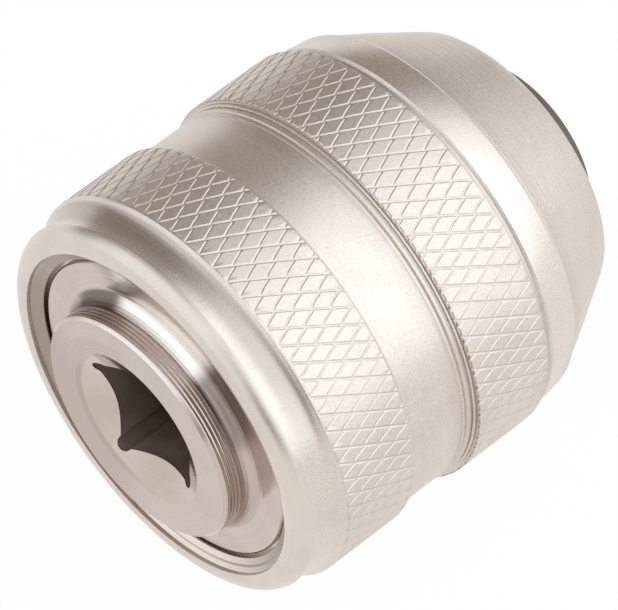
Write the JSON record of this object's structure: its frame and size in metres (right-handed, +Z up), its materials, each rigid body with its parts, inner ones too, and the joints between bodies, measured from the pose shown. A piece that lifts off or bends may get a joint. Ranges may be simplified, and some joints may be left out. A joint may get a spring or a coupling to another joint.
{
  "type": "keyless drill chuck",
  "caption": "Keyless drill chuck with a square drive socket, knurled rear and front sleeves, a smooth middle band and self-centring jaws.",
  "frame": {"origin": "centre of the drive socket's mouth, in the plane of the boss face", "axes": "+X along the chuck's axis from the boss face to the nose; +Z up with the chuck lying on its side"},
  "size_m": [0.063, 0.053, 0.053],
  "materials": {
    "body_steel": "turned steel, fine concentric marks",
    "sleeve_nickel": "satin nickel plate, knurled bands",
    "ring_steel": "turned steel",
    "nut_steel": "oiled hardened steel",
    "race_steel": "ground steel",
    "cage_brass": "plain brass",
    "ball_steel": "polished",
    "jaw_steel": "ground tool steel"
  },
  "bodies": {
    "chuck_body": {"body": "body_steel", "rear_sleeve": "sleeve_nickel", "rear_ring": "ring_steel", "race_rear": "race_steel"},
    "turning_sleeve": {"front_sleeve": "sleeve_nickel", "nut_half_a": "nut_steel", "nut_half_b": "nut_steel", "nut_ring": "ring_steel", "race_front": "race_steel"},
    "thrust_bearing": {"ball_cage": "cage_brass", "bearing_balls": "ball_steel"},
    "jaw_a": {"jaw_1": "jaw_steel"},
    "jaw_b": {"jaw_2": "jaw_steel"},
    "jaw_c": {"jaw_3": "jaw_steel"}
  },
  "joints": [
    {"name": "sleeve_turn", "type": "hinge", "parent": "chuck_body", "child": "turning_sleeve", "pos_m": [0.03, 0, 0], "axis": [1, 0, 0], "range_deg": [0, 5688]},
    {"name": "bearing_turn", "type": "hinge", "parent": "chuck_body", "child": "thrust_bearing", "pos_m": [0.03, 0, 0], "axis": [1, 0, 0], "range_deg": [0, 2845]},
    {"name": "jaw_a_slide", "type": "slide", "parent": "chuck_body", "child": "jaw_a", "axis": [0.9659, 0, -0.2588], "range_m": [0, 0.02372]},
    {"name": "jaw_b_slide", "type": "slide", "parent": "chuck_body", "child": "jaw_b", "axis": [0.9659, 0.2241, 0.1294], "range_m": [0, 0.02372]},
    {"name": "jaw_c_slide", "type": "slide", "parent": "chuck_body", "child": "jaw_c", "axis": [0.9659, -0.2241, 0.1294], "range_m": [0, 0.02372]}
  ],
  "couplings": [
    {"joint": "bearing_turn", "follows": "sleeve_turn", "ratio": 0.5},
    {"joint": "jaw_a_slide", "follows": "sleeve_turn", "m_per_rad": 0.00023873},
    {"joint": "jaw_b_slide", "follows": "sleeve_turn", "m_per_rad": 0.00023873},
    {"joint": "jaw_c_slide", "follows": "sleeve_turn", "m_per_rad": 0.00023873}
  ]
}
